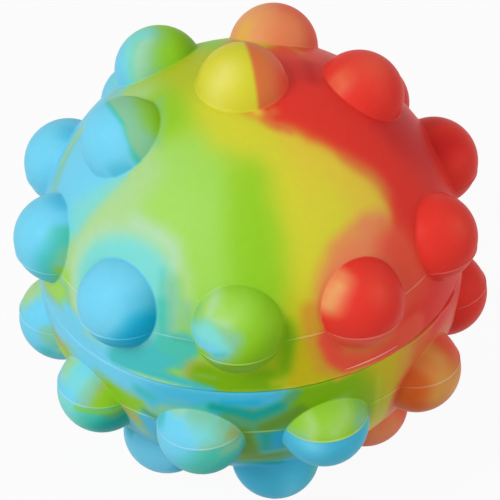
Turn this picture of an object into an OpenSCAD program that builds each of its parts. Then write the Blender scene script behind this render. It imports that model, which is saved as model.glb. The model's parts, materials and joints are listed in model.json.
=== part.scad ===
// Hollow silicone ball with snap-through bubbles: two moulded halves bonded at a lapped seam.
// The ball's centre is the origin, the seam lies at z = 0 and the two pole bubbles lie on the Z axis.

/* [Body] */
// Diameter of the round body between the bubbles
body_d = 59.1; // [54:0.1:66]
// Wall of each half
half_wall = 3; // [2.4:0.1:3.6]
// Straight band of each half beside the seam
band_h = 0.5; // [0.3:0.1:1.5]
// Chamfer on the outer edge of each half at the seam
seam_chamfer = 0.3; // [0.1:0.05:0.5]

/* [Seam joint] */
// Height of the lower half's spigot inside the upper half
spigot_h = 2.2; // [1:0.1:2.6]
// Thickness of the spigot
spigot_t = 1.2; // [0.8:0.1:1.4]
// Thickness of the adhesive ring round the spigot
bond_t = 0.25; // [0.15:0.05:0.4]
// Space left above the spigot's top
spigot_clearance = 0.2; // [0.1:0.05:0.5]

/* [Bubbles] */
// Diameter of the ball that a bubble's dome is part of
bubble_d = 12.4; // [11.6:0.1:13]
// Depth of the dome's centre below the body's surface
bubble_sink = 1.25; // [0.8:0.05:1.8]
// Width of the hinge collar that stays on the half, outside the crown
collar_w = 0.65; // [0.5:0.05:1]
// Wall of the crown
crown_wall = 1.2; // [0.9:0.05:1.4]
// Depth of the crown's cylindrical edge
crown_edge = 1.6; // [1.2:0.05:2]
// Gap between a crown and the hinge collar around it
crown_gap = 0.15; // [0.1:0.05:0.3]

/* [Rings of bubbles] */
// Bubbles in the ring beside the seam
rim_count = 10; // [6:1:10]
// Angle of that ring from the seam, seen from the half's centre
rim_angle = 18.5; // [17.5:0.5:20]
// Places in the ring beside the pole
mid_count = 6; // [4:1:6]
// Angle of that ring from the seam, seen from the half's centre
mid_angle = 54.7; // [53.7:0.5:55.7]
// Places of the upper half's pole-side ring that stay smooth, with no bubble
blank_count = 2; // [0:1:3]
// Turn of the upper half about the axis, from the front
upper_turn = 103.5; // [-180:0.5:180]
// Turn of the lower half about the axis, from the front
lower_turn = 127; // [-180:0.5:180]

/* [Hidden] */
$fn = 96;
// Overrun of every cut
over = 1;
body_r = body_d / 2;
hollow_r = body_r - half_wall;
bubble_r = bubble_d / 2;
collar_r = bubble_r - collar_w;
crown_r = collar_r - crown_gap;
spigot_r = hollow_r + spigot_t;
socket_r = spigot_r + bond_t;
// Distance from a half's centre to the centre of a bubble's dome, and to the underside of its crown
bubble_reach = body_r - bubble_sink;
crown_floor = bubble_reach + sqrt(pow(bubble_r, 2) - pow(crown_r, 2)) - crown_edge;
pole_angle = 90;
full_turn = 360;

sky = "#6CC9EC";
leaf = "#8CC63E";
sun = "#D8CB3A";
coral = "#E14A3B";
// Turns from the front at which the dye changes, going round from the cool side to the warm side
leaf_from = -20;
sun_from = 10;
coral_from = 25;
coral_to = 160;

upper_mid_count = mid_count - blank_count;
function numbered(stem, count) = [for (i = [1 : count]) str(stem, i)];

// Turn of bubble number i in a ring of so many places
function ring_turn(i, places) = full_turn * (i - 1) / places;
// Angle and turn of every bubble of one half
function bubble_places(mid_made) = concat(
    [[pole_angle, 0]],
    [for (i = [1 : mid_made]) [mid_angle, ring_turn(i, mid_count)]],
    [for (i = [1 : rim_count]) [rim_angle, ring_turn(i, rim_count)]]
);
// Dye at a turn from the front: cool on one side, warm on the other, with two short changes between
function signed(turn) = let (t = turn % full_turn) t > full_turn / 2 ? t - full_turn : t;
function dye(turn) =
    let (t = signed(turn))
    t < leaf_from ? sky : t < sun_from ? leaf : t < coral_from ? sun : t < coral_to ? coral : leaf;

// Puts a shape made along +Z at a bubble's place on a half that is not yet turned
module at_place(angle, turn) {
    translate([0, 0, band_h]) rotate([pole_angle - angle, 0, turn]) children();
}

// Upper half at its turn, and lower half as its mirror image at another turn
module upper() { rotate([0, 0, upper_turn]) children(); }
module lower() { rotate([0, 0, lower_turn]) mirror([0, 0, 1]) children(); }

// Solid hemisphere of radius r on a straight band, which reaches some way below the seam
module dome_on_band(r, below) {
    translate([0, 0, band_h]) intersection() {
        sphere(r);
        cylinder(h = r + over, r = r + over);
    }
    translate([0, 0, -below]) cylinder(h = below + band_h, r = r);
}

// Ring cut that takes the outer corner off at the seam
module seam_corner() {
    rotate_extrude() polygon([
        [body_r - seam_chamfer, 0],
        [body_r - seam_chamfer, -over],
        [body_r + over, -over],
        [body_r + over, seam_chamfer],
        [body_r, seam_chamfer]
    ]);
}

// One hollow half with the hinge collars of its bubbles, open where the crowns go.
// Its spigot, if it has one, reaches below the seam.
module half_shell(mid_made, spigot) {
    difference() {
        union() {
            dome_on_band(body_r, 0);
            translate([0, 0, -spigot]) cylinder(h = spigot + band_h, r = spigot_r);
            for (p = bubble_places(mid_made))
                at_place(p[0], p[1]) translate([0, 0, bubble_reach]) sphere(bubble_r);
        }
        dome_on_band(hollow_r, spigot + over);
        for (p = bubble_places(mid_made))
            at_place(p[0], p[1]) translate([0, 0, bubble_reach - bubble_r])
                cylinder(h = bubble_d + over, r = collar_r);
        seam_corner();
    }
}

module upper_half() {
    color(leaf) difference() {
        upper() half_shell(upper_mid_count, 0);
        translate([0, 0, -over]) cylinder(h = spigot_h + spigot_clearance + over, r = socket_r);
    }
}

module lower_half() {
    color(sky) lower() half_shell(mid_count, spigot_h);
}

module seam_bond() {
    color(sun) difference() {
        cylinder(h = spigot_h, r = socket_r);
        translate([0, 0, -over]) cylinder(h = spigot_h + 2 * over, r = spigot_r);
    }
}

// Moving crown of a bubble: a cap of the hollow dome with a cylindrical edge
module crown() {
    difference() {
        intersection() {
            translate([0, 0, bubble_reach]) sphere(bubble_r);
            translate([0, 0, crown_floor]) cylinder(h = bubble_d, r = crown_r);
        }
        translate([0, 0, bubble_reach]) sphere(bubble_r - crown_wall);
    }
}

module upper_bubble(angle, turn) {
    color(dye(upper_turn + turn)) upper() at_place(angle, turn) crown();
}

module lower_bubble(angle, turn) {
    color(dye(lower_turn + turn)) lower() at_place(angle, turn) crown();
}

upper_half();
lower_half();
seam_bond();
upper_bubble(pole_angle, 0);  // upper_pole_bubble
lower_bubble(pole_angle, 0);  // lower_pole_bubble
for (i = [1 : upper_mid_count])
    upper_bubble(mid_angle, ring_turn(i, mid_count));
for (i = [1 : rim_count])
    upper_bubble(rim_angle, ring_turn(i, rim_count));
for (i = [1 : mid_count])
    lower_bubble(mid_angle, ring_turn(i, mid_count));
for (i = [1 : rim_count])
    lower_bubble(rim_angle, ring_turn(i, rim_count));
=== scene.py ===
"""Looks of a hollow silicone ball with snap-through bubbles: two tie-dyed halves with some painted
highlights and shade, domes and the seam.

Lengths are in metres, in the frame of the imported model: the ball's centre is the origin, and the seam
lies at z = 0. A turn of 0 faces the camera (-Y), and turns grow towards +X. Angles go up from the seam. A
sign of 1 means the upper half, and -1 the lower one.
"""
import json
import math

import bpy
import numpy as np
from mathutils import Matrix, Vector


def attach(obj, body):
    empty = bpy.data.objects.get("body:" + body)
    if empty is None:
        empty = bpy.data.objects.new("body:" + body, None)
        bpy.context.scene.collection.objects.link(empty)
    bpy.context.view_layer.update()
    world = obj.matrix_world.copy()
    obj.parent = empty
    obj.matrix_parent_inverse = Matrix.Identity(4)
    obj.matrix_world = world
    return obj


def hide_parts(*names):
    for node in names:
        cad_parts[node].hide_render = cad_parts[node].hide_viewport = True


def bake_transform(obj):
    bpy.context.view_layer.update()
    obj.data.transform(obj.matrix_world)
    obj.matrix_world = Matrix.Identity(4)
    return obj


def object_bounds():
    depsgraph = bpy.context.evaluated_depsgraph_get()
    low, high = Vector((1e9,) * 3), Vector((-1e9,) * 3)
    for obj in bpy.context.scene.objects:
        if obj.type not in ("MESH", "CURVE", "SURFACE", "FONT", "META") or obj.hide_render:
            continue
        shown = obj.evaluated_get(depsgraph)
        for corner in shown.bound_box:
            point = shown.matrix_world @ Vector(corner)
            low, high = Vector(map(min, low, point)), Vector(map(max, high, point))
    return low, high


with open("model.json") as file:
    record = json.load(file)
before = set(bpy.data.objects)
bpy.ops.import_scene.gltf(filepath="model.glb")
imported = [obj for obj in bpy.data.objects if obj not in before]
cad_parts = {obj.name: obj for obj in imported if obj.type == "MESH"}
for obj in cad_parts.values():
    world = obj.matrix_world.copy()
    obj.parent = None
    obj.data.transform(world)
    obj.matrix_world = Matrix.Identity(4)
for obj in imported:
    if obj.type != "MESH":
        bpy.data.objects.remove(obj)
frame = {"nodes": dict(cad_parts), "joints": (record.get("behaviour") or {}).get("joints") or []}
cad_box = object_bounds()

BALL = "ball"
# Outward axis of each bubble, against the way that its joint slides in
BUBBLE_AXIS = {joint["child"]: -np.array(joint["axis"], float) for joint in frame["joints"]}
# An axis that rises less than the first is of the ring beside the seam; more than the second, of a pole
RIM_RISE = 0.5
POLE_RISE = 0.999

# Sizes of a half: its wall, the straight band beside the seam, the rounded edge and the lapped joint
MM = 0.001
BODY_R = 29.55 * MM
HALF_WALL = 3.0 * MM
HOLLOW_R = BODY_R - HALF_WALL
BAND_H = 0.5 * MM
SEAM_ROUND = 0.28 * MM
SEAM_GAP = 0.01 * MM
SPIGOT_WALL = 1.2 * MM
SPIGOT_R = HOLLOW_R + SPIGOT_WALL
SPIGOT_H = 2.2 * MM
BOND_GAP = 0.25 * MM
SOCKET_R = SPIGOT_R + BOND_GAP
SOCKET_SPARE = 0.2 * MM
SOCKET_H = SPIGOT_H + SOCKET_SPARE
# The upper half's inner skin starts this many times as far from its equator as the top of the socket
SOCKET_CLEAR = 1.1

# Sizes of a bubble: its dome, the rounded crease and foot on the half, and the cup inside the half's hole
BUBBLE_R = 6.2 * MM
DOME_SINK = 1.25 * MM
BUBBLE_REACH = BODY_R - DOME_SINK
CREASE_ROUND = 0.35 * MM
FOOT_W = 0.5 * MM
FOOT_LIFT = 0.004 * MM
FOOT_SINK = 0.03 * MM
HOLE_R = 6.05 * MM
CUP_LAP = 0.07 * MM
CUP_DROP = 0.3 * MM
CUP_DEPTH = 5.6 * MM
CUP_TAPER = 1.4 * MM
CUP_POWER = 6

# Reach from a half's centre to the plane where a dome meets the body, and to the dome's top; then half
# the angle of a hole, and the angle of the ring of bubbles beside the seam
BASE_REACH = (BODY_R**2 + BUBBLE_REACH**2 - BUBBLE_R**2) / (2 * BUBBLE_REACH)
HOLE_ANGLE = math.asin(HOLE_R / BODY_R)
RIM_ANGLE = math.asin(min(abs(axis[2]) for axis in BUBBLE_AXIS.values()))

# Mould marks: height of the parting line over the seam and over a half's centre, and beads' half sizes
PARTING_Z = 7.9 * MM
PARTING_LIFT = PARTING_Z - BAND_H
BEAD_W = 0.19 * MM
BEAD_H = 0.12 * MM
RIDGE_W = 0.12 * MM
RIDGE_H = 0.16 * MM
# Flash on the seam's edge, by rows from the band down: how far a row stands out, its share of painted
# highlight and how rough
LIP_SHAPE = np.array([0.6, 1, 0.95, 0.8, 0.6, 0.35, 0.1, 0])
LIP_HIGHLIGHT = np.array([0.5, 1, 0.7, 0.2])
LIP_ROUGH = np.array([0, 0, 0.5, 1, 1, 1, 1])
EDGE_ROUGH = 0.012 * MM
# Waves to a turn that make up the edge's roughness and break up its flash and painted highlight, and the
# seed of their phases
ROUGH_WAVES = (61, 97, 143)
FLASH_WAVES = (37, 83, 131)
EDGE_SEED = {1: 6, -1: 4}

# Grid sizes: points round a half and down its skin, round a bubble and down its outline, and along beads
TURNS = 540
ANGLES = 117
SEAM_ROWS = len(LIP_ROUGH)
AROUND = 128
DOME_ROWS = 36
CREASE_ROWS = 9
FOOT_ROWS = 6
CUP_ROWS = 14
BEAD_SIDES = 8
BODY_PARTING_POINTS = 30
DOME_PARTING_POINTS = 64
RIDGE_POINTS = 60


# Dye, in families of colours
FAMILIES = {
    "cool": dict(
        sky="#70CCE9", azure="#46B5D6", lake="#0CA6D0", lagoon="#46BCBE", aqua="#7AD4CC", teal="#4CBFAC",
        pine="#109E96",
    ),
    "leafy": dict(
        frost="#ACD4A8", sage="#84C298", mist="#AAD08C", lime="#9CD156", leaf="#8AC424", moss="#78AC08",
        fern="#629028", olive="#B2BE22", smoke="#54A070", khaki="#A8B060", butter="#DCD66C",
        lemon="#D0CB34", gold="#C2B414", amber="#CC9A2C", sand="#DCBE3E", tan="#E4A064", ochre="#D29548",
    ),
    "warm": dict(
        salmon="#E08456", orange="#D4713A", coral="#E0503A", red="#DC352A", ruby="#C2221F",
        rust="#C8561C",
    ),
}
FAMILY = {name: family for family, colours in FAMILIES.items() for name in colours}
PALETTE = {
    name: np.array([int(code[k : k + 2], 16) for k in (1, 3, 5)]) / 255
    for colours in FAMILIES.values()
    for name, code in colours.items()
}
# Softness of a border in degrees: inside a family of colours, and between families
MELT = 3.6
MEET = 1.7

# Flows: colour, reach in degrees, then the points (turn, angle) of the line that the colour runs along
UPPER_FLOWS = [
    ("sky", 0, (-165, 20), (-112, 40), (-88, 32), (-73, 40), (-68, 47)),
    ("sky", 0, (-84, 10), (-71, 20)),
    ("aqua", -2.5, (-67, 24), (-64, 36), (-59, 46)),
    ("mist", 0, (-58, 20), (-57, 34), (-51, 46), (-47, 55)),
    ("mist", -2, (-97, 61)),
    ("lime", 0, (-38, 62), (-34, 48), (-20, 58), (-18, 38), (-14, 26)),
    ("leaf", 0, (-84, 68), (-64, 69)),
    ("leaf", 0, (2.5, 58), (3, 36), (4, 20)),
    ("olive", 0, (-135, 70), (-122, 71), (-104, 75)),
    (
        "lemon", 0, (-95, 83), (-50, 79), (-20, 75), (-4, 71.5),
        (14.5, 65), (19.2, 57), (19, 45), (19, 34), (17.5, 25),
    ),
    ("gold", -1, (14.5, 22), (13.5, 12)),
    ("lemon", 0, (31, 57), (34, 50), (32, 43)),
    ("sand", -1.4, (31.5, 65.5), (33, 59.5)),
    ("sand", 0.2, (34, 58.5), (41, 51.5), (46, 46), (44.5, 41)),
    ("red", 0, (39, 79.5), (47, 74), (51, 69), (60, 56.5), (65, 43), (61, 34), (57, 26), (54, 12)),
    ("red", 0, (75, 60), (100, 70), (120, 40), (95, 20), (80, 8)),
    ("ruby", 0, (86, 46), (100, 36)),
    ("coral", 0, (140, 62), (150, 45), (152, 15)),
    ("lemon", 0, (168, 60), (172, 40), (170, 12)),
    ("leaf", 0, (-168, 62), (-172, 40), (-176, 20)),
]
LOWER_FLOWS = [
    ("sky", 0, (-95, -3), (-60, -3), (-32, -2)),
    ("sky", 0, (-90, -25), (-72, -40), (-53, -55), (-60, -75)),
    ("azure", 0, (-28, -3), (-12, -1.5), (1.5, -1.5)),
    ("moss", 0, (13, -4), (24, -4), (30, -9), (33, -16)),
    ("gold", 1, (38.5, -2), (38.5, -12), (38, -24), (39.5, -32)),
    ("ochre", 1, (44.2, -3), (43.6, -12)),
    ("olive", -1, (39, -38)),
    ("orange", 0, (49, -1), (48, -6), (46, -16), (45, -26), (46, -34)),
    ("coral", 0, (55, -3), (64, -5), (75, -12), (80, -25), (80, -45)),
    ("azure", 0, (-34, -24), (-34, -34), (-20, -45), (6, -46), (8, -60)),
    ("orange", 0, (46, -34), (58, -50), (70, -70)),
    ("leaf", 0, (30, -55), (35, -80)),
    ("ruby", 0, (110, -5), (125, -30), (120, -60)),
    ("gold", 0, (160, -5), (165, -35), (150, -60)),
    ("leaf", 0, (-170, -5), (-165, -40), (-160, -65)),
    ("sky", 0, (-130, -10), (-125, -40)),
]
# Pools over the flows: colour, half width and softness in degrees, then the points of their line
UPPER_POOLS = [
    ("sage", 1.5, 7, (-116, 50), (-98, 36), (-89, 27)),
    ("mist", 0.8, 6, (-106, 43), (-97, 32)),
    ("frost", 18, 6, (-42.5, 21.5)),
    ("frost", 2.6, 6, (-42, 41), (-33, 39.5), (-27, 37), (-24.5, 33)),
    ("mist", 1.6, 5, (-64, 24), (-63, 14)),
    ("mist", 1, 6, (-66, 64), (-52, 56)),
    ("sage", 0.2, 7, (-86, 67.5), (-72, 66.5), (-55, 62)),
    ("sky", 1.6, 4, (-59, 50)),
    ("aqua", 16.4, 6, (-40, 21)),
    ("mist", 1, 6, (-20, 31), (-19, 24)),
    ("sage", 1, 6, (-19.5, 23), (-18.5, 18)),
    ("sage", 2, 6, (-24.5, 28), (-23, 14)),
    ("teal", -0.5, 6, (-28, 31), (-27, 25)),
    ("teal", 1.4, 4, (-26.5, 22.5), (-25.6, 13)),
    ("lime", 1.6, 4, (-62, 15), (-61.5, 11.5)),
    ("sage", 4.6, 3.5, (-75, 6), (-63, 8)),
    ("lime", 3.2, 3, (-74, 6.8), (-63.5, 8)),
    ("sky", 4, 5, (-64, 0), (-40, 1.5)),
    ("sky", 2.5, 4, (-54, 5.5), (-60, 5.5)),
    ("lagoon", 4.4, 4, (-38, 2.5), (-29, 5), (-23, 9)),
    ("lagoon", 3.6, 4, (-26, 8), (-19.5, 11.5), (-19, 12)),
    ("teal", 3, 4, (-24.5, 10.5), (-19.5, 11), (-19.5, 7)),
    ("smoke", -0.3, 4, (-22, 13.4), (-18, 13.4)),
    ("khaki", 4.4, 4, (-15, 4), (-13, 2)),
    ("moss", 4.6, 4, (-13, 3), (-4, 1), (2, 2.8)),
    ("sage", -0.5, 5, (-16, 3.5), (-11, 3.8)),
    ("lagoon", 1.6, 3, (-30, 1.2), (-17, 0), (-12, -0.8)),
    ("moss", 2.4, 6, (7.5, 7), (9, 14), (8.4, 18)),
    ("olive", 1, 4, (7.5, 2.6), (4.5, 2.8)),
    ("gold", 2.4, 4, (14, 12), (11.5, 2.6), (18, 0.5)),
    ("amber", 2.6, 4, (16.5, 22), (16, 13), (17.5, 5), (24, 1.2)),
    ("orange", 0.6, 7, (50.5, 54.5), (55.2, 47), (55.5, 41)),
    ("salmon", 15, 7.5, (35.5, 23)),
    ("salmon", 2.5, 7, (42, 37), (47, 36)),
    ("salmon", 0.2, 8, (28, 36), (36, 38.6), (43, 38.5)),
    ("coral", 6, 10, (48, 27), (50, 16)),
    ("coral", 12, 3.4, (31.8, 18.5)),
    ("coral", 4, 3, (20.8, 12), (21.6, 7.6), (25.5, 4.4), (33, 3.4), (47, 3)),
    ("orange", 1.2, 5, (24.5, 7.5), (31, 4.6), (38, 6)),
    ("orange", 1.5, 3, (138, 65.5), (150, 64.5)),
    ("ruby", 2, 6, (100, 71), (120, 69)),
    ("ochre", 3, 4, (-178, 64), (-172, 72)),
    ("orange", 1, 5, (24, 75.8), (32, 76)),
    ("orange", 0.8, 4.5, (20, 73.6), (23, 71.8), (30, 70.4), (35, 68.4)),
    ("sand", 1.4, 3, (15, 77)),
    ("mist", 2.5, 6, (-178, 30), (-160, 34), (-150, 46)),
    ("teal", 3, 5, (-150, 6), (-162, 14)),
    ("orange", 3, 5, (158, 30), (160, 10)),
    ("tan", 2.4, 5, (162, 52), (172, 48)),
    ("ruby", 4, 6, (132, 22), (140, 34)),
]
LOWER_POOLS = [
    ("sage", 0.8, 4, (-62, -6), (-58, -5)),
    ("khaki", 4.4, 4, (-71, -12), (-63, -11)),
    ("leaf", 2, 4, (-69, -13), (-63, -11)),
    ("sage", 4.4, 3.5, (-46, -9), (-38, -11)),
    ("sage", 1.5, 3, (-36, -7.5), (-29, -12), (-26, -9), (-17, -7)),
    ("smoke", 1, 3, (-33, -12.5), (-29, -14)),
    ("sage", -0.3, 4, (-24, -5), (-18, -4)),
    ("sage", 2, 5, (-38.5, -20), (-38, -25)),
    # Painted shadow: dark pine under a bubble
    ("pine", 1.5, 4, (-50, -32), (-45, -33)),
    ("teal", 1, 6, (-36.5, -31)),
    ("khaki", 2.2, 3, (-40.5, -15), (-38, -18.5)),
    ("leaf", 3, 3.5, (-44, -10), (-37.5, -11.7)),
    ("leaf", 1, 3, (-36, -10.4), (-33.5, -9.5)),
    ("lagoon", 1.5, 4, (-33, -4.5), (-29, -6)),
    ("teal", 1.6, 3.5, (-15, -6), (-11, -4.6)),
    ("lake", 0.4, 4, (-8, -2.6), (0, -2.4)),
    ("smoke", 5.5, 4, (-5, -10), (4, -10)),
    ("fern", 2, 3.5, (2.5, -12.8), (6.5, -10.5), (10, -7)),
    ("smoke", 1.2, 3, (6.5, -3.4), (9, -0.5)),
    ("pine", 1.5, 3, (-11, -4.4), (-5, -5.8), (-0.6, -7.6), (3, -5.8), (5, -4.6)),
    ("fern", 3.4, 4, (-4, -16), (-2.6, -27)),
    ("pine", 1.6, 3.5, (2.6, -17), (2.8, -24)),
    ("lake", 1.8, 3, (5.8, -17), (6, -23)),
    ("smoke", 4, 4, (-4, -32), (7, -31)),
    ("fern", 1.5, 4, (-5, -30), (6, -29)),
    ("pine", 1.6, 4, (-9, -35.5), (0, -36), (7, -38.5)),
    ("amber", 0.6, 2.4, (20.5, 0.2), (25.5, 0.4)),
    ("olive", 0.5, 4, (34.5, -4), (34.5, -15), (36.5, -23)),
    ("sage", -0.2, 5, (19, -6.5), (24, -7)),
    ("orange", 13.6, 3, (55, -18.5)),
    ("coral", 12.2, 2, (55, -18.5)),
    ("red", 3, 4, (58, -1), (72, -3)),
    ("coral", 4, 6, (96, -10), (92, -24)),
    ("orange", 4, 5, (142, -14), (146, -30)),
    ("khaki", 2.4, 4, (-176, -20), (178, -34)),
    ("teal", 4, 5, (-150, -12), (-146, -26)),
    ("mist", 2.4, 5, (-148, -40), (-156, -30)),
    ("azure", 5, 9, (-112, -20), (-106, -36)),
    ("smoke", 3, 5, (-150, -70), (-110, -62)),
]
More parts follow.
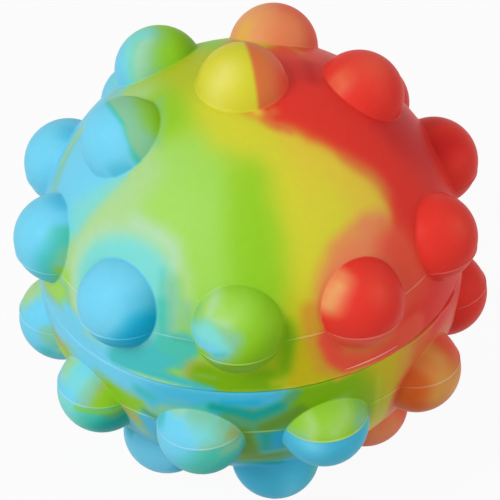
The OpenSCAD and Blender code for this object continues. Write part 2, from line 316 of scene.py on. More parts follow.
# Bubbles: mould side, ground colour, and pools over it with half width, softness and places (east, north)
# in shares of the dome's radius. With no ground colour, the pools lie on the dye that is there already.
# Some pools are painted highlight or painted shade, as marked below.
BUBBLE_DYE_AND_PAINTED_LIGHT = {
    "upper_pole_bubble": [
        ("all", "lemon", [
            ("butter", 0.22, 0.8, (-0.5, -0.6), (-0.35, -0.5)),
            ("orange", 0.62, 0.12, (0.72, 0.5), (0.86, -0.3), (0.95, -0.9)),
            ("salmon", 0.08, 0.7, (0.72, 0), (0.85, -0.5)),
            ("coral", 0.26, 0.5, (1, 0.2), (1, -0.5)),
        ]),
    ],
    "upper_mid_bubble_1": [
        ("all", "red", [
            # Painted highlight: coral and salmon on the dome's lit upper side
            ("coral", 0.4, 0.8, (-0.2, 0.3)),
            ("salmon", 0.02, 0.6, (-0.5, 0.82), (-0.25, 0.9)),
        ]),
    ],
    "upper_mid_bubble_2": [
        ("all", "coral", [
            ("salmon", 0.5, 0.9, (-0.6, 0.78), (-0.1, 0.9), (0.3, 0.5)),
            ("tan", 0.5, 0.9, (0.5, 0.9), (0.9, 0.3)),
            ("sand", 0.1, 0.6, (0.6, 0.85)),
        ]),
    ],
    "upper_mid_bubble_3": [
        ("all", "moss", [
            ("leaf", 0.8, 0.5, (0.5, 0.5), (0, 0)),
            # Painted highlight: the sage band over the upper part
            ("sage", 0.28, 0.5, (0.7, 0.55), (0.1, 0.45)),
            ("frost", 0.08, 0.5, (0.85, 0.45), (0.3, 0.5)),
            ("aqua", 0.32, 0.44, (0.95, 0.1), (0.3, 0.05), (0.15, 0.2)),
            ("sky", 0.36, 0.4, (1, -0.2), (0.6, -0.4)),
        ]),
    ],
    "upper_mid_bubble_4": [
        ("all", "sky", [
            (
                "teal", 0.06, 0.14, (-0.4, 0.28), (-0.06, 0.35), (0.3, 0.4),
                (0.55, 0.4), (0.84, 0.28), (1, 0.12),
            ),
            ("sage", 0.29, 0.1, (-0.5, 0.58), (0, 0.68), (0.5, 0.72), (0.97, 0.5)),
            ("azure", 0.01, 0.3, (1, -0.12), (0.85, -0.5)),
            ("leaf", 0.18, 0.4, (-0.6, 0.95), (0.2, 1), (0.6, 0.9)),
        ]),
    ],
    "upper_rim_bubble_1": [("all", "red", [("ruby", 0.3, 0.6, (-0.6, 0.8))])],
    "upper_rim_bubble_2": [
        ("all", "red", [("ruby", 0.2, 0.6, (-0.7, -0.3)), ("coral", 0.5, 0.8, (0.4, 0.6))]),
    ],
    "upper_rim_bubble_3": [
        ("all", "lemon", [("tan", 0.2, 0.5, (-0.85, 0.2)), ("leaf", 0.5, 0.5, (0.8, 0.3), (0.7, -0.5))]),
    ],
    "upper_rim_bubble_4": [
        ("all", "aqua", [("sky", 0.4, 0.6, (0.6, 0.2), (0.4, -0.6)), ("mist", 0.2, 0.4, (-0.8, 0.4))]),
    ],
    "upper_rim_bubble_5": [("all", "sky", [("azure", 0.02, 0.4, (0, 1), (0.3, 0.97))])],
    "upper_rim_bubble_6": [
        ("all", "sky", [
            ("azure", 0.04, 0.3, (-0.3, 0.95), (0.2, 1)),
            ("lagoon", 0.22, 0.5, (1, 0.5), (0.95, -0.5), (0.7, -0.8)),
            ("teal", 0.12, 0.3, (0.72, 0.72), (1, 0.36), (0.97, -0.4)),
            ("sage", 0.05, 0.14, (0.95, 0.44), (1, 0.1), (0.98, -0.3)),
            ("leaf", 0.03, 0.14, (1, -0.12), (0.97, -0.4), (0.84, -0.62)),
        ]),
    ],
    "upper_rim_bubble_7": [
        ("all", "sky", [
            # Painted shade: azure and lake darken the lower right, away from the light
            ("azure", 0.14, 0.8, (0.9, 0.5), (0.95, -0.1), (0.6, -0.8), (0, -1)),
            ("lake", 0.24, 0.5, (1, -0.02), (0.87, -0.34), (0.62, -0.7), (0.2, -0.97)),
        ]),
    ],
    "upper_rim_bubble_8": [
        ("all", "leaf", [
            ("lime", 0.3, 0.8, (-0.5, 0.7), (0, 0.6)),
            ("frost", 0.08, 0.5, (-0.45, 0.85), (-0.6, 0.46), (-0.2, 0.38)),
            ("sage", 0.02, 0.24, (-0.9, 0.45), (-0.8, 0.58)),
            ("moss", 0.3, 0.8, (0.9, -0.3), (0.5, -0.7)),
            ("sage", 0.2, 0.4, (-0.8, 0.2), (-0.04, 0.08), (-0.15, -0.15), (-0.42, -0.42)),
            ("aqua", 0.22, 0.3, (-0.92, -0.02), (-0.6, 0.16), (-0.34, -0.14)),
            ("sky", 0.12, 0.28, (-0.8, -0.14), (-0.48, -0.22)),
            ("lagoon", 0.02, 0.3, (-0.45, -0.34), (-0.28, -0.28)),
        ]),
        ("seam", "moss", [("sage", 0.06, 0.3, (-0.6, -0.5), (-0.42, -0.52))]),
    ],
    "upper_rim_bubble_9": [
        ("all", "red", [
            # Painted sheen: the coral pool at the middle. Salmon and tan at the upper left are dye with a
            # painted highlight over it
            ("coral", 0.1, 0.9, (0.05, 0.45)),
            ("salmon", 0.16, 0.34, (-0.42, 0.88), (-0.7, 0.62), (-0.92, 0.3)),
            ("tan", 0.05, 0.2, (-0.56, 0.74), (-0.74, 0.6), (-0.9, 0.36)),
        ]),
        ("seam", "coral", [("orange", 0.1, 0.5, (0.05, -0.95))]),
    ],
    # Painted sheen: coral on the lit upper middle of the red dome
    "upper_rim_bubble_10": [("all", "red", [("coral", 0.06, 0.9, (-0.2, 0.4))])],
    "lower_pole_bubble": [
        ("all", "teal", [("azure", 0.4, 0.5, (-0.7, 0.3)), ("olive", 0.3, 0.4, (0.8, 0.2), (0.5, -0.6))]),
    ],
    "lower_mid_bubble_1": [
        ("all", "ruby", [("coral", 0.4, 0.6, (0.4, 0.5)), ("ochre", 0.2, 0.4, (0.9, -0.2))]),
    ],
    "lower_mid_bubble_2": [
        ("all", "olive", [("lime", 0.4, 0.6, (0.3, 0.6)), ("tan", 0.2, 0.4, (-0.85, 0.1))]),
    ],
    "lower_mid_bubble_3": [
        ("all", "azure", [("aqua", 0.4, 0.6, (-0.3, 0.6)), ("leaf", 0.16, 0.3, (-0.9, -0.2))]),
    ],
    "lower_mid_bubble_4": [
        ("all", "sky", [
            ("azure", 0.5, 0.6, (0.3, -0.6)),
            ("lake", 0.1, 0.5, (0.95, 0.1), (0.7, -0.5)),
            ("pine", 0.03, 0.2, (-0.4, 0.95), (-0.1, 1.02)),
        ]),
    ],
    "lower_mid_bubble_5": [
        ("all", "azure", [("sky", 0.1, 0.8, (0.2, 0.6)), ("teal", 0.16, 0.5, (0.9, 0.6))]),
    ],
    "lower_mid_bubble_6": [("all", "coral", [("salmon", 0.3, 0.6, (-0.85, 0.3), (-0.5, 0.68))])],
    "lower_rim_bubble_1": [
        ("seam", "red", [("coral", 0.3, 0.6, (0.3, 0.6))]),
        ("pole", "orange", [("ruby", 0.3, 0.6, (-0.5, -0.4))]),
    ],
    "lower_rim_bubble_2": [
        ("all", "gold", [
            ("salmon", 0.4, 0.5, (-0.8, 0.2), (-0.5, -0.6)),
            ("olive", 0.3, 0.5, (0.7, 0.4)),
        ]),
    ],
    "lower_rim_bubble_3": [
        ("all", "leaf", [("mist", 0.3, 0.6, (-0.3, 0.7)), ("teal", 0.4, 0.4, (0.9, -0.2), (0.5, -0.8))]),
    ],
    "lower_rim_bubble_4": [
        ("all", "sky", [
            ("mist", 0.14, 0.4, (-0.8, 0.5)),
            ("lagoon", 0.4, 0.5, (-0.7, -0.4), (-0.2, -0.8)),
        ]),
    ],
    "lower_rim_bubble_5": [
        ("all", "sky", [
            ("mist", 0.24, 0.5, (-0.5, 0.8), (0, 0.92)),
            ("sage", 0.06, 0.24, (0.88, 0.46), (1, 0.05)),
            ("lagoon", 0.12, 0.4, (0.86, -0.15), (0.6, -0.7)),
            ("mist", 0.03, 0.12, (1, -0.1), (0.98, -0.3)),
        ]),
    ],
    "lower_rim_bubble_6": [
        ("all", "sky", [
            ("mist", 0.14, 0.4, (-0.55, 0.85), (-0.3, 0.92)),
            ("aqua", 0.1, 0.5, (-0.2, 0.9), (0.35, 0.85)),
            ("sage", 0.42, 0.44, (0.76, 0.76), (0.8, 0.4)),
            ("khaki", 0.04, 0.2, (0.62, 0.8), (0.72, 0.58), (0.78, 0.4)),
            ("leaf", 0.22, 0.26, (0.84, 0.6), (0.95, 0.34)),
        ]),
        ("pole", "aqua", [
            ("teal", 0.5, 0.6, (0.8, 0.1), (0.6, -0.5)),
            ("pine", 0.36, 0.5, (0.95, -0.2), (0.8, -0.6)),
            ("smoke", 0.08, 0.2, (0.97, 0.1), (0.9, 0.24)),
            ("leaf", 0.03, 0.16, (0.3, 0.46), (0.7, 0.38), (0.97, 0.22)),
        ]),
    ],
    "lower_rim_bubble_7": [
        ("all", "sky", [
            ("aqua", 0.26, 0.7, (0.4, 0.85), (0.6, 0.6)),
            ("sage", 0.1, 0.4, (0.35, 0.5), (0.75, 0.5), (0.6, 0.8)),
            ("mist", 0.01, 0.14, (-0.6, 0.84), (-0.2, 0.98)),
            ("sage", 0.06, 0.3, (-0.1, 1), (0.4, 0.95)),
            ("lagoon", 0.04, 0.24, (-0.92, 0.45), (-0.75, 0.65)),
            ("khaki", 0.04, 0.2, (0.78, 0.56), (0.98, 0.26)),
        ]),
        ("pole", None, [
            ("azure", 0.2, 0.8, (-0.4, -0.3)),
            ("teal", 0.7, 0.8, (0.7, 0.1), (0.4, -0.3)),
            ("pine", 0.24, 0.7, (0.3, -0.6), (0.8, -0.3)),
            ("sage", 0.1, 0.3, (0.75, 0.34), (0.95, 0.2)),
        ]),
    ],
    "lower_rim_bubble_8": [
        ("seam", "leaf", [
            ("mist", 0.06, 0.8, (-0.1, 0.7), (0.3, 0.85)),
            ("mist", 0.08, 0.4, (-0.5, 0.76), (-0.62, 0.52)),
            ("sage", 0.06, 0.3, (-0.9, 0.36), (-0.7, 0.46)),
            ("sage", 0.14, 0.4, (0.55, 0.6), (0.7, 0.5)),
        ]),
        ("pole", "azure", [("sky", 0.2, 0.6, (-0.6, 0.4)), ("teal", 0.12, 0.3, (0.8, 0.4))]),
    ],
    "lower_rim_bubble_9": [
        ("all", "orange", [
            ("ochre", 0.1, 0.5, (-0.2, 0.9)),
            ("ochre", 0.3, 0.6, (-0.45, 0.2), (-0.3, 0.5)),
            ("tan", 0.24, 0.6, (0.05, 0.22)),
            ("coral", 0.12, 0.3, (0.2, 1), (0.5, 0.75), (0.6, 0.4)),
            ("rust", 0.16, 0.4, (-0.8, 0.6), (-0.92, 0.1), (-0.8, -0.3)),
        ]),
        ("pole", None, [("ochre", 0.26, 0.6, (0.25, 0.2), (0.4, -0.3))]),
    ],
    "lower_rim_bubble_10": [("all", "red", [])],
}
# A border wanders by a sum of sine waves: largest shift in degrees, number of waves, their first and
# added frequency, how fast they fade, and each half's seed
WANDER = 0.4
WAVES = 7
WAVE_FIRST = 9.0
WAVE_STEP = 5.0
WAVE_FADE = 0.5
WANDER_SEED = {1: 3, -1: 8}
# Shares of a dome's radius over which its own dye gives way to the half's
FOOT_DYE = (0.995, 1.03)
# Painted highlight where a mould line catches the light: share of white on the parting line, and along
# the seam's edge
PARTING_HIGHLIGHT = 0.2
SEAM_HIGHLIGHT = 0.06
# Flash on each half's edge, with a painted highlight: first and last turn, share of white painted as the
# highlight, and how far the flash stands out in millimetres
FLASH_AND_HIGHLIGHT = {
    1: [(-44, -16, 0.3, 0.1), (-14, 16, 0.12, 0), (22, 44, 0.1, 0.2), (110, 150, 0.4, 0.2)],
    -1: [(-70, -22, 0.18, 0.05), (42, 59, 0.16, 0.3), (61, 70, 0.12, 0.3), (-150, -110, 0.3, 0.1)],
}
FLASH_RIPPLE = 0.2
# Thin ridge of flash over the upper half's edge: first and last place (turn, angle), and share of white
# painted on it as a highlight
RIDGE = ((23.3, 1.15), (40.5, 0.8))
RIDGE_HIGHLIGHT = 0.42


def place(turn, angle):
    """Unit vectors at a turn and an angle in degrees: level by the turn, then raised by the angle."""
    t, a = np.broadcast_arrays(np.radians(turn), np.radians(angle))
    return np.stack([np.cos(a) * np.sin(t), -np.cos(a) * np.cos(t), np.sin(a)], -1)


def unit(v):
    """Vectors at length 1."""
    return v / np.linalg.norm(v, axis=-1, keepdims=True)


def ease(x):
    """Smooth step from 0 to 1: three times the square less twice the cube."""
    x = np.clip(x, 0, 1)
    return x * x * (3 - 2 * x)


def off_arcs(d, points):
    """Angle in degrees from unit vectors d to the nearest of the great-circle arcs that join points."""
    p = place(*np.array(points, float).T)
    best = np.arccos(np.clip((d @ p.T).max(-1), -1, 1))
    for a, b in zip(p, p[1:]):
        n = unit(np.cross(a, b))
        beside = (d @ np.cross(n, a) > 0) & (d @ np.cross(n, b) < 0)
        off = np.abs(np.arcsin(np.clip(d @ n, -1, 1)))
        best = np.where(beside, np.minimum(best, off), best)
    return np.degrees(best)


def off_lines(q, points):
    """Distance from flat places q to the nearest of the straight lines that join the points."""
    p = np.array(points, float)
    best = np.linalg.norm(q[..., None, :] - p, axis=-1).min(-1)
    for a, b in zip(p, p[1:]):
        share = np.clip(((q - a) @ (b - a)) / ((b - a) @ (b - a)), 0, 1)
        best = np.minimum(best, np.linalg.norm(q - a - share[..., None] * (b - a), axis=-1))
    return best


def wander(d, sign):
    """Unit vectors d shifted by a sum of sine waves across the ball, so that no border is a plain arc."""
    rng = np.random.default_rng(WANDER_SEED[sign])
    out = d.copy()
    for k in range(WAVES):
        front = rng.normal(size=3)
        front *= (WAVE_FIRST + WAVE_STEP * k) / np.linalg.norm(front)
        reach = math.radians(WANDER) / (1 + WAVE_FADE * k)
        height = reach * np.sin(d @ front + rng.uniform(0, 2 * math.pi))
        out = out + height[..., None] * rng.normal(size=3)
    return unit(out)


def run_flows(flows, d):
    """Colours that run along lines: those of one family melt into each other, and families meet half way.

    A flow pulls by its reach less the distance to its line, and weighs as the exponential of its pull.
    """
    pull = np.stack([reach - off_arcs(d, points) for _, reach, *points in flows], -1)
    colour = np.array([PALETTE[name] for name, *_ in flows])
    family = np.array([FAMILY[name] for name, *_ in flows])
    pulls, mixes = [], []
    for name in dict.fromkeys(family):
        own = pull[..., family == name]
        best = own.max(-1, keepdims=True)
        weight = np.exp((own - best) / MELT)
        mixes.append((weight / weight.sum(-1, keepdims=True)) @ colour[family == name])
        pulls.append(best[..., 0])
    pulls = np.stack(pulls, -1)
    weight = np.exp((pulls - pulls.max(-1, keepdims=True)) / MEET)
    weight /= weight.sum(-1, keepdims=True)
    return (weight[..., None] * np.stack(mixes, -2)).sum(-2)


def lay_pools(colour, pools, off):
    """Pools laid over a colour one after another, each fading out across its own soft border."""
    for name, width, soft, *points in pools:
        weight = ease((width + soft / 2 - off(points)) / soft)[..., None]
        colour = colour * (1 - weight) + PALETTE[name] * weight
    return colour


def half_dye(d, sign):
    """Dye of a half in the directions d from its centre: its flows, with its pools over them; a few pools
    are painted shade.
    """
    d = wander(d, sign)
    flows, pools = (UPPER_FLOWS, UPPER_POOLS) if sign > 0 else (LOWER_FLOWS, LOWER_POOLS)
    return lay_pools(run_flows(flows, d), pools, lambda points: off_arcs(d, points))


def bubble_dye(node, d, q, sign, seam_side):
    """Dye of a bubble at flat places q, with painted highlights and shade among its pools: its own ground
    and pools on each side of the parting line.

    At the bubble's foot it gives way to the half's dye in the directions d.
    """
    around = half_dye(d, sign)
    colour = around
    where = {"all": np.ones_like(seam_side), "seam": seam_side, "pole": ~seam_side}
    for side, ground, pools in BUBBLE_DYE_AND_PAINTED_LIGHT[node]:
        painted = lay_pools(PALETTE.get(ground, colour), pools, lambda points: off_lines(q, points))
        colour = np.where(where[side][..., None], painted, colour)
    low, high = FOOT_DYE
    foot = ease((np.linalg.norm(q, axis=-1) - low) / (high - low))[..., None]
    return colour * (1 - foot) + around * foot


def paint_highlight(colour, share):
    """Colours mixed with a share of white, which paints a highlight."""
    return colour + (1 - colour) * np.asarray(share)[..., None]


def edge_waves(turn, counts, sign):
    """Sum of sine waves round a half's edge: one for each count of waves to a turn, at its own phase."""
    phases = np.random.default_rng(EDGE_SEED[sign]).uniform(0, 2 * math.pi, len(counts))
    return sum(np.sin(np.radians(turn) * count + phase) for count, phase in zip(counts, phases))


def flash_and_highlight(turn, sign):
    """Flash along a half's edge: share of white painted as a highlight, and how far the flash stands out.

    Both swell along each arc of turns as the root of a sine, and are broken up by waves.
    """
    turn = (turn + 180) % 360 - 180
    highlight, lip = np.full(turn.shape, SEAM_HIGHLIGHT), np.zeros(turn.shape)
    for start, end, white, reach in FLASH_AND_HIGHLIGHT[sign]:
        swell = np.sqrt(np.sin(math.pi * np.clip((turn - start) / (end - start), 0, 1)))
        highlight = np.maximum(highlight, white * swell)
        lip = np.maximum(lip, reach * MM * swell)
    ripple = 1 + FLASH_RIPPLE * (edge_waves(turn, FLASH_WAVES, sign) / len(FLASH_WAVES))
    return np.clip(highlight * ripple, 0, 1), lip * ripple


# Meshes
def linear(srgb):
    """Light values of sRGB colours, by the standard's curve."""
    return np.where(srgb <= 0.04045, srgb / 12.92, ((srgb + 0.055) / 1.055) ** 2.4)


def mesh_piece(name, points, faces, dye, material):
    """Smooth mesh object at the origin with its dye and painted light in a point attribute; unused points
    are dropped.
    """
    used = np.unique(np.concatenate([f.ravel() for f in faces]))
    number = np.zeros(len(points), int)
    number[used] = np.arange(len(used))
    corners = []
    for group in faces:
        corners += number[group].tolist()
    mesh = bpy.data.meshes.new(name)
    mesh.from_pydata(points[used].tolist(), [], corners)
    mesh.polygons.foreach_set("use_smooth", np.ones(len(mesh.polygons), bool))
    rgba = np.ones((len(used), 4), np.float32)
    rgba[:, :3] = linear(dye[used])
    mesh.attributes.new("dye", "FLOAT_COLOR", "POINT").data.foreach_set("color", rgba.ravel())
    mesh.materials.append(material)
    mesh.validate()
    piece = bpy.data.objects.new(name, mesh)
    bpy.context.scene.collection.objects.link(piece)
    return piece


def grid_faces(rows, columns):
    """Quads of a grid of points that closes on itself along its columns."""
    i, j = np.meshgrid(np.arange(rows - 1), np.arange(columns), indexing="ij")
    k = (j + 1) % columns
    return np.stack([i * columns + j, (i + 1) * columns + j, (i + 1) * columns + k, i * columns + k], -1)


def closed_tube(rings, ends, start=0):
    """Rings of points joined one after another and shut with a fan to a point at each end.

    The faces count their points from start.
    """
    rows, columns = rings.shape[:2]
    j = np.arange(columns)
    k = (j + 1) % columns
    last = (rows - 1) * columns
    first_fan = np.stack([np.full(columns, rows * columns), j, k], -1)
    last_fan = np.stack([np.full(columns, rows * columns + 1), last + k, last + j], -1)
    points = np.concatenate([rings.reshape(-1, 3), ends])
    return points, [start + f for f in (grid_faces(rows, columns).reshape(-1, 4), first_fan, last_fan)]


def bead(path, normal, width, height, start):
    """Closed bead along a path: an ellipse across the path, that shrinks to a point at its ends."""
    side = unit(np.cross(np.gradient(path, axis=0), normal))
    a = np.linspace(0, 2 * math.pi, BEAD_SIDES, endpoint=False)
    swell = np.sqrt(np.sin(np.linspace(0, math.pi, len(path))))[1:-1, None, None]
    across = width * np.cos(a)[:, None] * side[1:-1, None]
    across = across + height * np.sin(a)[:, None] * normal[1:-1, None]
    return closed_tube(path[1:-1, None] + swell * across, path[[0, -1]], start)


def with_beads(points, faces, highlight, beads):
    """A mesh with beads added to its points, faces and shares of white, which are painted highlight.

    A bead is given by its path, the normals along it, its half width and height, and its share of white
    as a painted highlight.
    """
    for path, normal, width, height, white in beads:
        more, parts = bead(path, normal, width, height, len(points))
        points = np.concatenate([points, more])
        faces = faces + parts
        highlight = np.pad(highlight, (0, len(more)), constant_values=white)
    return points, faces, highlight


def half_centre(sign):
    """Point about which a half and its bubbles curve: the ball's centre, moved by the band's height."""
    return np.array([0, 0, sign * BAND_H])


def half_rows(sign):
    """Rows of a half's closed wall, from the outer pole edge over the seam to the inner one.

    Returns the angles of the outer skin's rows, how many of them the inner skin shares, and the radius
    and height of the rows between the skins: a quarter circle, then the corners of the lapped joint.
    """
    angles = np.linspace(math.pi / 2 - HOLE_ANGLE, 0, ANGLES)
    turn = np.linspace(0, -math.pi / 2, SEAM_ROWS)
    edge = np.stack([
        BODY_R - SEAM_ROUND + SEAM_ROUND * np.cos(turn),
        SEAM_GAP + SEAM_ROUND + SEAM_ROUND * np.sin(turn),
    ], -1)
    if sign > 0:
        lift = SOCKET_H - BAND_H
        shared = np.count_nonzero(angles > math.asin(lift / HOLLOW_R) * SOCKET_CLEAR)
        joint = [(SOCKET_R, SEAM_GAP), (SOCKET_R, SOCKET_H), (math.sqrt(HOLLOW_R**2 - lift**2), SOCKET_H)]
    else:
        shared = ANGLES
        joint = [(SPIGOT_R, SEAM_GAP), (SPIGOT_R, -SPIGOT_H), (HOLLOW_R, -SPIGOT_H)]
    return angles, shared, np.concatenate([edge, joint])


def cut_holes(d, axes):
    """Grid of directions d with those beside a bubble's circle drawn onto it, and the quads to keep.

    A quad is kept where its middle lies outside every circle.
    """
    axis = axes[(d @ axes.T).argmax(-1)]
    middle = unit(d[:-1] + d[1:] + np.roll(d[:-1] + d[1:], -1, axis=1))
    keep = (middle @ axes.T).max(-1) < math.cos(HOLE_ANGLE)
    beside = np.pad(keep, ((1, 1), (0, 0)), constant_values=True)
    corners = np.stack([beside[:-1], beside[1:], np.roll(beside[:-1], 1, 1), np.roll(beside[1:], 1, 1)])
    on_edge = corners.any(0) & ~corners.all(0)
    flat = unit(d - (d * axis).sum(-1, keepdims=True) * axis)
    circle = math.cos(HOLE_ANGLE) * axis + math.sin(HOLE_ANGLE) * flat
    return np.where(on_edge[..., None], circle, d), keep


def seam_rows(between, turns, sign):
    """Circles of points between a half's skins, with those of the edge pushed out by flash and roughness.

    Also returns the push on the band's row above them, and the shares of white, a painted highlight, from
    that row down.
    """
    t = np.radians(turns)
    ring = np.stack([np.sin(t), -np.cos(t), 0 * t], -1)
    rows = between[:, :1, None] * ring + np.array([0, 0, 1]) * between[:, 1:, None]
    highlight, lip = flash_and_highlight(turns, sign)
    rough = EDGE_ROUGH * edge_waves(turns, ROUGH_WAVES, sign)
    rows[:SEAM_ROWS] += (LIP_SHAPE[1:, None] * lip + LIP_ROUGH[:, None] * rough)[..., None] * ring
    return rows, (LIP_SHAPE[0] * lip)[:, None] * ring, LIP_HIGHLIGHT[:, None] * highlight


def wall_faces(count, shared, keep):
    """Quads of a half's closed wall with a count of rows: skins with holes, and a wall round each hole.

    A hole's wall joins the skins along each border between a quad that is kept and one that isn't.
    """
    number = np.arange(count * TURNS).reshape(count, TURNS)
    quads = grid_faces(count, TURNS)
    solid = np.ones(quads.shape[:2], bool)
    solid[: ANGLES - 1] = keep
    solid[count - shared : count - 1] = keep[: shared - 1][::-1]
    pole = np.stack([number[-1], number[0], np.roll(number[0], -1), np.roll(number[-1], -1)], -1)
    outer, inner = number[:ANGLES], number[::-1][:ANGLES]
    left = np.roll(keep, 1, axis=1)
    below = np.pad(keep, ((0, 1), (0, 0)), constant_values=True)[1:]
    walls = []
    for other, down in ((left, False), (below, True)):
        for (i, j), turned in ((np.nonzero(keep & ~other), False), (np.nonzero(~keep & other), True)):
            a, b = ((i + 1, j), (i + 1, (j + 1) % TURNS)) if down else ((i, j), (i + 1, j))
            wall = np.stack([outer[a], outer[b], inner[b], inner[a]], -1)
            walls.append(wall if turned else wall[:, ::-1])
    return [quads[solid], pole, *walls]


def parting_turns(axes):
    """Pairs of turns between which the parting line runs over the body, from dome to dome.

    Half a dome's turn follows from the triangle of its middle, the ball's axis and the place where the
    dome's level circle meets the body's.
    """
    across = math.sqrt(BODY_R**2 - PARTING_LIFT**2)
    reach, rise = BUBBLE_REACH * math.cos(RIM_ANGLE), BUBBLE_REACH * math.sin(RIM_ANGLE)
    cut = BUBBLE_R**2 - (PARTING_LIFT - rise) ** 2
    half_turn = math.degrees(math.acos((across**2 + reach**2 - cut) / (2 * across * reach)))
    rim = axes[axes[:, 2] < RIM_RISE]
    at = np.sort(np.degrees(np.arctan2(rim[:, 0], -rim[:, 1])))
    step = 360 / len(at)
    return [(a + half_turn, a + step - half_turn) for a in at]


def half_beads(axes, sign):
    """Beads on a half: its parting line, a level circle from dome to dome, and the upper half's ridge."""
    beads = []
    lift = math.degrees(math.asin(PARTING_LIFT / BODY_R))
    for turn in parting_turns(axes):
        normal = place(np.linspace(*turn, BODY_PARTING_POINTS), lift)
        beads.append((half_centre(1) + BODY_R * normal, normal, BEAD_W, BEAD_H, PARTING_HIGHLIGHT))
    if sign > 0:
        normal = place(*np.linspace(*RIDGE, RIDGE_POINTS).T)
        beads.append((half_centre(1) + BODY_R * normal, normal, RIDGE_W, RIDGE_H, RIDGE_HIGHLIGHT))
    return beads


def half_piece(name, sign, axes, material):
    """One half as a closed wall: a grid of turns by rows, cut open in a circle round each bubble.

    It is worked out as an upper half, and mirrored in the seam for the lower one.
    """
    angles, shared, between = half_rows(sign)
    turns = np.arange(TURNS) * 360 / TURNS
    d, keep = cut_holes(place(*np.meshgrid(turns, np.degrees(angles))), axes)
    rows, push, white = seam_rows(between, turns, sign)
    outer, inner = half_centre(1) + BODY_R * d, half_centre(1) + HOLLOW_R * d[:shared][::-1]
    outer[-1] += push
    grid = np.concatenate([outer, rows, inner])
    # Shares of white painted as a highlight along the seam's edge and on the beads
    highlight = np.zeros(grid.shape[:2])
    highlight[ANGLES - 1 :][: len(white)] = white
    faces = wall_faces(len(grid), shared, keep)
    points, faces, highlight = with_beads(grid.reshape(-1, 3), faces, highlight.ravel(), half_beads(axes, sign))
    points[:, 2] *= sign
    if sign < 0:
        faces = [f[:, ::-1] for f in faces]
    dye = paint_highlight(half_dye(unit(points - half_centre(sign)), sign), highlight)
    return mesh_piece(name, points, faces, dye, material)


def arc(radius, angle):
    """Flat points at a radius and at angles from the axis, as distance from it and distance along it."""
    return np.stack([radius * np.sin(angle), radius * np.cos(angle)], -1)


def dome_profile():
    """Half outline of a bubble, as distance from its axis and distance from the half's centre along it.

    It runs down the dome, round a crease that touches dome and body, along a foot that sinks into the
    half, and back inside as a cup that narrows evenly and closes by a root of a power.
    """
    seat = BODY_R + FOOT_LIFT
    far, out = seat + CREASE_ROUND, BUBBLE_R + CREASE_ROUND
    y = (far**2 - out**2 + BUBBLE_REACH**2) / (2 * BUBBLE_REACH)
    x = math.sqrt(far**2 - y**2)
    top, low = math.atan2(x, y - BUBBLE_REACH), math.atan2(x, y)
    dome = arc(BUBBLE_R, np.linspace(0, top, DOME_ROWS)) + [0, BUBBLE_REACH]
    crease = arc(CREASE_ROUND, np.linspace(top + math.pi, low + math.pi, CREASE_ROWS)[1:]) + [x, y]
    s = np.linspace(0, 1, FOOT_ROWS)[1:]
    foot = arc(seat - (FOOT_LIFT + FOOT_SINK) * s**2, low + s * FOOT_W / BODY_R)
    s = np.linspace(0, 1, CUP_ROWS)
    wide = (HOLE_R + CUP_LAP - CUP_TAPER * s) * np.sqrt(1 - s**CUP_POWER)
    cup = np.stack([wide, BASE_REACH - CUP_DROP - CUP_DEPTH * s], -1)
    return np.concatenate([dome, crease, foot, cup])


def dome_parting(axis, sign):
    """Parting line over a dome: a level circle of its ball, where that lies outside the body."""
    middle = half_centre(sign) + BUBBLE_REACH * axis
    lift = sign * PARTING_Z - middle[2]
    wide = math.sqrt(BUBBLE_R**2 - lift**2)
    reach = np.hypot(middle[0], middle[1])
    level = BODY_R**2 - PARTING_LIFT**2
    end = math.acos((level - reach**2 - wide**2) / (2 * reach * wide))
    t = np.linspace(-end, end, DOME_PARTING_POINTS) + math.atan2(axis[1], axis[0])
    x, y = middle[0] + wide * np.cos(t), middle[1] + wide * np.sin(t)
    path = np.stack([x, y, np.full_like(t, sign * PARTING_Z)], -1)
    return path, unit(path - middle)


def bubble_frame(axis):
    """East and north of a bubble: north points up, and along +Y on the two poles."""
    if abs(axis[2]) > POLE_RISE:
        return np.array([1.0, 0, 0]), np.array([0, 1.0, 0])
    east = unit(np.array([-axis[1], axis[0], 0.0]))
    return east, np.cross(axis, east)


def bubble_piece(node, axis, sign, material):
    """One bubble: its half outline carried round its axis and closed, with the parting line on it."""
    centre = half_centre(sign)
    east, north = bubble_frame(axis)
    outline = dome_profile()
    t = np.arange(AROUND) * 2 * math.pi / AROUND
    spoke = np.cos(t)[:, None] * east + np.sin(t)[:, None] * north
    rings = centre + outline[1:-1, :1, None] * spoke + outline[1:-1, 1:, None] * axis
    points, faces = closed_tube(rings, centre + outline[[0, -1], 1:] * axis)
    beads = []
    if abs(axis[2]) < RIM_RISE:
        beads.append((*dome_parting(axis, sign), BEAD_W, BEAD_H, PARTING_HIGHLIGHT))
    # Shares of white painted as a highlight on the parting bead
    points, faces, highlight = with_beads(points, faces, np.zeros(len(points)), beads)
    off = points - centre - BUBBLE_REACH * axis
    q = np.stack([off @ east, off @ north], -1) / BUBBLE_R
    dye = bubble_dye(node, unit(points - centre), q, sign, np.abs(points[:, 2]) < PARTING_Z)
    return mesh_piece(node + "_dome", points, faces, paint_highlight(dye, highlight), material)


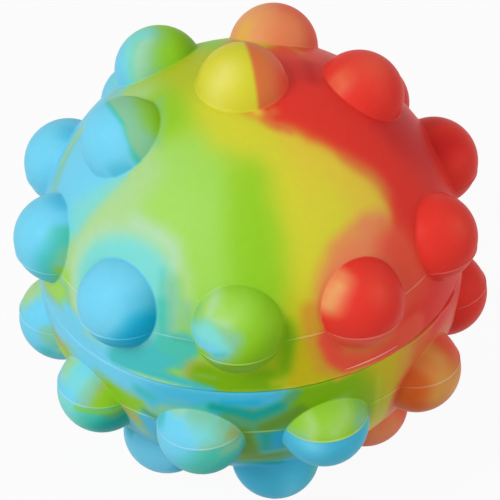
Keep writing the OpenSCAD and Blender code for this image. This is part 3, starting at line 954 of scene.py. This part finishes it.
# Materials: plain values on each shader, and the noise that varies it, with its scale in cells to a metre
SILICONE = {
    "Roughness": 0.42,
    "Specular IOR Level": 0.08,
    "Subsurface Weight": 0.12,
    "Subsurface Radius": (1.0, 0.8, 0.6),
    "Subsurface Scale": 1.2 * MM,
}
MOTTLE = {"Scale": 900.0, "Detail": 3.0, "Roughness": 0.6}
MOTTLE_TONE = {"To Min": 0.965, "To Max": 1.035}
GRAIN = {"Scale": 9000.0, "Detail": 2.0}
GRAIN_BUMP = {"Strength": 0.06, "Distance": 0.04 * MM}
ADHESIVE = {"Roughness": 0.35}
CLOUD = {"Scale": 400.0, "Detail": 4.0}
MILK_THIN = (0.74, 0.74, 0.66, 1)
MILK_THICK = (0.9, 0.9, 0.84, 1)
# Numbers of a Mix node's two colours and of its mixed colour among its sockets
MIX_A = 6
MIX_B = 7
MIX_RESULT = 2


def node_material(name, finish):
    """Node material with plain values on its shader, and helpers that add nodes and link sockets."""
    material = bpy.data.materials.new(name)
    material.use_nodes = True
    tree = material.node_tree
    shader = tree.nodes["Principled BSDF"]
    for socket, value in finish.items():
        shader.inputs[socket].default_value = value

    def add(kind, inputs=(), **settings):
        node = tree.nodes.new("ShaderNode" + kind)
        for key, value in settings.items():
            setattr(node, key, value)
        for socket, value in dict(inputs).items():
            if isinstance(value, bpy.types.NodeSocket):
                tree.links.new(value, node.inputs[socket])
            else:
                node.inputs[socket].default_value = value
        return node

    return material, shader, add, tree.links.new


def silicone(name):
    """Tie-dyed silicone: the attribute of dye and painted light, faintly mottled, with a satin skin of
    very fine grain.
    """
    material, shader, add, link = node_material(name, SILICONE)
    dye = add("Attribute", attribute_name="dye")
    where = add("TexCoord").outputs["Object"]
    mottle = add("TexNoise", {"Vector": where, **MOTTLE})
    tone = add("MapRange", {"Value": mottle.outputs["Fac"], **MOTTLE_TONE})
    tinted = add("HueSaturation", {"Color": dye.outputs["Color"], "Value": tone.outputs["Result"]})
    link(tinted.outputs["Color"], shader.inputs["Base Color"])
    grain = add("TexNoise", {"Vector": where, **GRAIN})
    bump = add("Bump", {"Height": grain.outputs["Fac"], **GRAIN_BUMP})
    link(bump.outputs["Normal"], shader.inputs["Normal"])
    return material


def adhesive():
    """Cured adhesive: milky, with small clouds and a soft gloss."""
    material, shader, add, link = node_material("cured_adhesive", ADHESIVE)
    where = add("TexCoord").outputs["Object"]
    cloud = add("TexNoise", {"Vector": where, **CLOUD}).outputs["Fac"]
    milk = add("Mix", {"Factor": cloud, MIX_A: MILK_THIN, MIX_B: MILK_THICK}, data_type="RGBA")
    link(milk.outputs[MIX_RESULT], shader.inputs["Base Color"])
    return material


# Ball
dyed_skin = {1: silicone("upper_silicone"), -1: silicone("lower_silicone")}
frame["nodes"]["seam_bond"].data.materials.clear()
frame["nodes"]["seam_bond"].data.materials.append(adhesive())

for half, sign in (("upper_half", 1), ("lower_half", -1)):
    axes = np.array([axis for axis in BUBBLE_AXIS.values() if axis[2] * sign > 0]) * [1, 1, sign]
    piece = half_piece(half + "_skin", sign, axes, dyed_skin[sign])
    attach(piece, BALL)
    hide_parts(half)

for node, axis in BUBBLE_AXIS.items():
    sign = 1 if axis[2] > 0 else -1
    piece = bubble_piece(node, axis, sign, dyed_skin[sign])
    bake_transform(piece)
    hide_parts(node)


# Camera, fitted to the photograph: picture size and the ball's centre in pixels, then the camera's place
PICTURE = 500
BALL_AT = (250.6, 251.9)
VIEW_UP = math.radians(39.6)
VIEW_ROLL = math.radians(-3.0)
VIEW_FROM = 551.7 * MM
LENS = 284.8
SENSOR = 36.0
CLIP_NEAR = 0.01
CLIP_FAR = 20.0

back = Vector((0, -math.cos(VIEW_UP), math.sin(VIEW_UP)))
level_up = Vector((0, math.sin(VIEW_UP), math.cos(VIEW_UP)))
level_right = Vector((1, 0, 0))
right = level_right * math.cos(VIEW_ROLL) + level_up * math.sin(VIEW_ROLL)
up = level_up * math.cos(VIEW_ROLL) - level_right * math.sin(VIEW_ROLL)
pixel = VIEW_FROM * SENSOR / (LENS * PICTURE)
aside, down = ((at - PICTURE / 2) * pixel for at in BALL_AT)
spot = back * VIEW_FROM - right * aside + up * down
camera = bpy.data.objects.new("camera", bpy.data.cameras.new("camera"))
camera.data.lens = LENS
camera.data.sensor_width = SENSOR
camera.data.clip_start = CLIP_NEAR
camera.data.clip_end = CLIP_FAR
camera.matrix_world = Matrix((
    (right.x, up.x, back.x, spot.x),
    (right.y, up.y, back.y, spot.y),
    (right.z, up.z, back.z, spot.z),
    (0, 0, 0, 1),
))
bpy.context.scene.collection.objects.link(camera)
bpy.context.scene.camera = camera


# Stage and light
WHITE = (1, 1, 1, 1)
FLOOR = {"Base Color": (0.5, 0.5, 0.5, 1), "Roughness": 0.8}
FLOOR_HALF = 3.0
FLOOR_WHITE = 0.94
SKY_STRENGTH = 0.5
# Lamps: name, turn, angle, distance and width in metres, and power in watts
LAMPS = [
    ("key", -54, 44, 0.9, 0.4, 4.5),
    ("low", -12, 10, 0.8, 0.2, 0.55),
    ("fill", 72, 18, 1.1, 0.9, 3.0),
]


def seen_white(tree, rest, white, mix):
    """Mix of two sockets by Light Path: white for camera, glossy and transmission rays, else the rest."""
    path = tree.nodes.new("ShaderNodeLightPath")
    seen = path.outputs["Is Camera Ray"]
    for ray in ("Is Glossy Ray", "Is Transmission Ray"):
        either = tree.nodes.new("ShaderNodeMath")
        either.operation = "MAXIMUM"
        tree.links.new(seen, either.inputs[0])
        tree.links.new(path.outputs[ray], either.inputs[1])
        seen = either.outputs[0]
    for socket, value in enumerate((seen, rest, white)):
        tree.links.new(value, mix.inputs[socket])
    return mix.outputs[0]


def floor():
    """Plain white floor, a square under the lowest bubble; it keeps a faint shadow."""
    low = cad_box[0].z
    corners = [(x * FLOOR_HALF, y * FLOOR_HALF, low) for x, y in ((-1, -1), (1, -1), (1, 1), (-1, 1))]
    mesh = bpy.data.meshes.new("floor")
    mesh.from_pydata(corners, [], [(0, 1, 2, 3)])
    material, shader, add, link = node_material("white_floor", FLOOR)
    white = add("Emission", {"Color": WHITE, "Strength": 1.0})
    shaded = add("MixShader", {0: FLOOR_WHITE, 1: shader.outputs[0], 2: white.outputs[0]})
    mixed = seen_white(material.node_tree, shader.outputs[0], shaded.outputs[0], add("MixShader"))
    link(mixed, material.node_tree.nodes["Material Output"].inputs["Surface"])
    mesh.materials.append(material)
    obj = bpy.data.objects.new("floor", mesh)
    bpy.context.scene.collection.objects.link(obj)


def softbox(name, turn, angle, distance, size, power):
    """Square area lamp that faces the ball from a turn and an angle."""
    lamp = bpy.data.lights.new(name, "AREA")
    lamp.size = size
    lamp.energy = power
    obj = bpy.data.objects.new(name, lamp)
    obj.location = Vector(place(turn, angle)) * distance
    obj.rotation_euler = (-obj.location).to_track_quat("-Z", "Y").to_euler()
    bpy.context.scene.collection.objects.link(obj)


def sky_light():
    """Even white surroundings, seen as plain white."""
    world = bpy.data.worlds.new("surroundings")
    world.use_nodes = True
    tree = world.node_tree
    soft, white = tree.nodes["Background"], tree.nodes.new("ShaderNodeBackground")
    for background, strength in ((soft, SKY_STRENGTH), (white, 1.0)):
        background.inputs["Color"].default_value = WHITE
        background.inputs["Strength"].default_value = strength
    mixed = seen_white(tree, soft.outputs[0], white.outputs[0], tree.nodes.new("ShaderNodeMixShader"))
    tree.links.new(mixed, tree.nodes["World Output"].inputs["Surface"])
    bpy.context.scene.world = world


floor()
sky_light()
for lamp in LAMPS:
    softbox(*lamp)
bpy.context.scene.view_settings.view_transform = "Standard"
